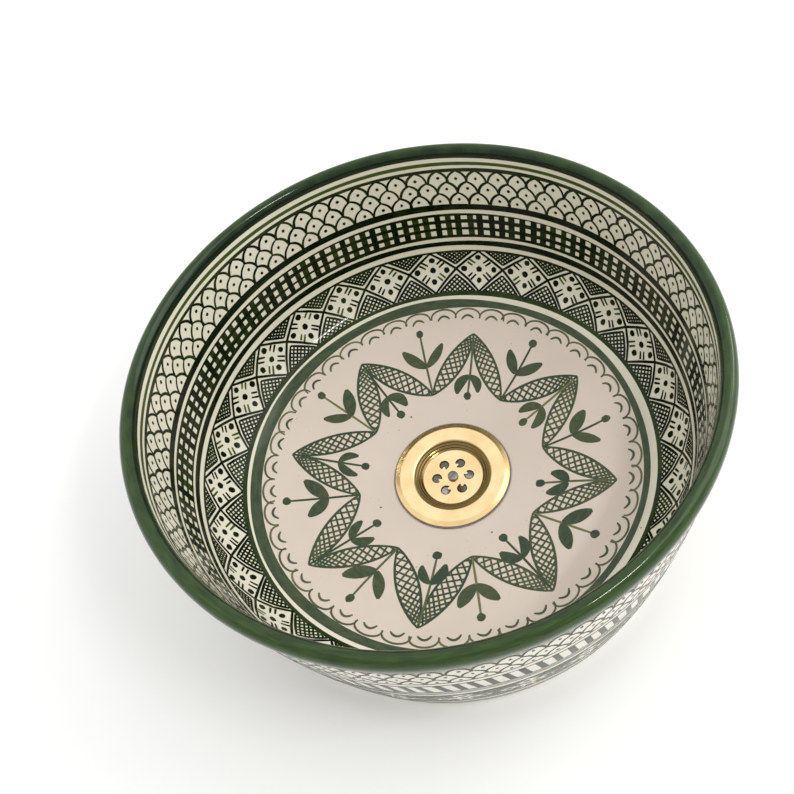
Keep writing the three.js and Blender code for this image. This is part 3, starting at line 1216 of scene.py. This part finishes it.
def waste_shell():
    """The flanged cup, the cone and the threaded tail, as one turned shell."""
    around = 96
    steps = int((THREAD_TOP - THREAD_BOTTOM) / THREAD_PITCH * 8)
    rows = [(CUP_OUTER_RADIUS + 0.3, WASTE_SEAT), (CUP_OUTER_RADIUS, WASTE_SEAT - 0.3)]
    rows += [(CUP_OUTER_RADIUS, CUP_BOTTOM - 1), (25, -19.3), (TAIL_RADIUS, -20.2)]
    rows += [(None, THREAD_TOP + (THREAD_BOTTOM - THREAD_TOP) * i / steps) for i in range(steps + 1)]
    rows += [(TAIL_RADIUS - 0.8, TAIL_BOTTOM), (TAIL_BORE_RADIUS, TAIL_BOTTOM)]
    rows += [(TAIL_BORE_RADIUS, CONE_BOTTOM), (CUP_INNER_RADIUS, CUP_BOTTOM), (CUP_INNER_RADIUS, WASTE_TOP)]
    rows += [(WASTE_FLANGE_RADIUS - 0.4, WASTE_TOP), (WASTE_FLANGE_RADIUS, WASTE_TOP - 0.4)]
    rows += [(WASTE_FLANGE_RADIUS, WASTE_SEAT + 0.4), (WASTE_FLANGE_RADIUS - 0.4, WASTE_SEAT)]
    points = []
    for i in range(around):
        turn = 2 * math.pi * i / around
        for radius, height in rows:
            if radius is None:
                radius = thread_radius(height, i / around)
            points.append(at_turn(radius, turn, height))
    faces = turned_faces(len(rows), around)
    thing = mesh_object("waste_body_fine", points, faces, [PLASTIC])
    weld(thing)
    return thing


def waste_boss():
    """The boss under the grid on its arms, hollowed for the insert and the screw."""
    section = [(0, BOSS_BOTTOM), (BOSS_RADIUS - 0.6, BOSS_BOTTOM), (BOSS_RADIUS, BOSS_BOTTOM + 0.6)]
    section += [(BOSS_RADIUS, BOSS_TOP - 0.6), (BOSS_RADIUS - 0.6, BOSS_TOP), (0, BOSS_TOP)]
    boss = solid_turned("boss", section, 48, PLASTIC)
    for k in range(ARM_COUNT):
        arm_centre = (ARM_SIZE[0] / 2, 0, ARM_MIDDLE)
        arm = block("arm", ARM_SIZE, arm_centre, 2 * math.pi * k / ARM_COUNT, PLASTIC)
        combine(boss, arm, "UNION")
    for radius, low, high in (
        (POCKET_RADIUS, POCKET_BOTTOM, BOSS_TOP + 1),
        (INSERT_BORE_RADIUS, BOSS_BOTTOM - 1, BOSS_TOP),
    ):
        way = solid_turned("way", [(0, low), (radius, low), (radius, high), (0, high)], 48, PLASTIC)
        combine(boss, way, "DIFFERENCE")
    return boss


def waste_body():
    """The plastic waste: its shell, with the boss held inside it."""
    thing = waste_shell()
    combine(thing, waste_boss(), "UNION")
    smooth(thing, 30)
    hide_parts("waste_body")
    hold(thing)


def screw_insert():
    """A knurled brass sleeve moulded into the boss."""
    steps = 96
    points, faces = [], []
    for height in (INSERT_BOTTOM, BOSS_TOP):
        for knurled in (False, True):
            for i in range(steps):
                turn = 2 * math.pi * i / steps
                knurl = INSERT_RADIUS + KNURL_DEPTH * math.cos(KNURL_TEETH * turn)
                points.append(at_turn(knurl if knurled else INSERT_BORE_RADIUS, turn, height))
    inner_low, outer_low, inner_high, outer_high = 0, steps, 2 * steps, 3 * steps
    for i in range(steps):
        k = (i + 1) % steps
        faces.append((outer_low + i, outer_low + k, outer_high + k, outer_high + i))
        faces.append((inner_low + k, inner_low + i, inner_high + i, inner_high + k))
        faces.append((outer_high + i, outer_high + k, inner_high + k, inner_high + i))
        faces.append((inner_low + i, inner_low + k, outer_low + k, outer_low + i))
    thing = mesh_object("screw_insert_fine", points, faces, [INSERT_METAL])
    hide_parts("screw_insert")
    hold(thing)


# ---- Stage, light and camera ----

def stage_floor():
    """A pale floor with a hole for the waste's tail, as a counter would have."""
    material, tree, shader = new_material("stage_white")
    drift = noise(tree, object_point(tree), 0.8, 2)
    white = ramp(tree, drift, ((0, (0.94, 0.94, 0.935)), (1, (0.96, 0.96, 0.955))))
    tree.links.new(white, shader.inputs["Base Color"])
    shader.inputs["Roughness"].default_value = 0.9
    shader.inputs["Specular IOR Level"].default_value = 0.2
    section = [(60, 0), (60, -4), (9000, -4), (9000, 0)]
    thing = lathe("stage_floor", section[::-1], 96, [material])


def area_light(name, place, size, power, target=(0, 0, 0.1), colour=(1, 1, 1)):
    data = bpy.data.lights.new(name, "AREA")
    data.shape = "RECTANGLE"
    data.size, data.size_y = size
    data.energy = power
    data.color = colour
    lamp = bpy.data.objects.new(name, data)
    lamp.location = place
    lamp.rotation_euler = (Vector(target) - Vector(place)).to_track_quat("-Z", "Y").to_euler()
    bpy.context.scene.collection.objects.link(lamp)


def studio():
    """A white room that is bright overhead and behind the basin and darker on the viewer's side."""
    world = bpy.data.worlds.new("studio")
    world.use_nodes = True
    tree = world.node_tree
    background = tree.nodes["Background"]
    direction = add_node(tree, "ShaderNodeTexCoord").outputs["Generated"]
    split = add_node(tree, "ShaderNodeSeparateXYZ")
    tree.links.new(direction, split.inputs["Vector"])
    depth = add_node(tree, "ShaderNodeMapRange")
    depth.inputs["From Min"].default_value = -1
    tree.links.new(split.outputs["Y"], depth.inputs["Value"])
    stops = ((0, (0.68, 0.68, 0.68)), (0.3, (0.68, 0.68, 0.68)), (0.55, (1, 1, 1)), (1, (1, 1, 1)))
    tree.links.new(ramp(tree, depth.outputs["Result"], stops), background.inputs["Color"])
    background.inputs["Strength"].default_value = 1.07
    bpy.context.scene.world = world
    area_light("right_window", (1.75, 0.1, 1.6), (1.7, 2.4), 17)
    area_light("lamp", (0.54, -0.57, 1.31), (0.32, 0.05), 3.8)


def photo_camera():
    yaw, pitch, roll = math.radians(2.56), math.radians(50.165), math.radians(-14.967)
    forward = Vector((math.sin(yaw) * math.cos(pitch), math.cos(yaw) * math.cos(pitch), -math.sin(pitch)))
    level = Vector((math.cos(yaw), -math.sin(yaw), 0))
    upright = level.cross(forward)
    right = math.cos(roll) * level + math.sin(roll) * upright
    up = -math.sin(roll) * level + math.cos(roll) * upright
    data = bpy.data.cameras.new("photo_camera")
    data.lens = 46.497
    data.sensor_width = 36
    data.shift_x = -0.0410
    data.shift_y = -0.1242
    camera = bpy.data.objects.new("photo_camera", data)
    axes = Matrix((right, up, -forward)).transposed()
    camera.matrix_world = Matrix.Translation((0, -0.4002, 0.7056)) @ axes.to_4x4()
    bpy.context.scene.collection.objects.link(camera)
    bpy.context.scene.camera = camera


# ---- Assembly ----

basin_body()
for paint in (
    rim_paint, scales_paint, checks_paint, diamonds_paint, scallops_paint, star_paint, sprigs_paint,
    outer_scales_paint, outer_bars_paint, outer_diamonds_paint, outer_foot_paint,
):
    hold(paint())
strainer()
centre_screw()
cushion_ring("flange_gasket", FLANGE_GASKET, FOAM)
cushion_ring("lower_gasket", LOWER_GASKET, RUBBER)
waste_body()
screw_insert()
stage_floor()
studio()
photo_camera()
bpy.context.scene.view_settings.view_transform = "Standard"
bpy.context.scene.view_settings.exposure = 0.05
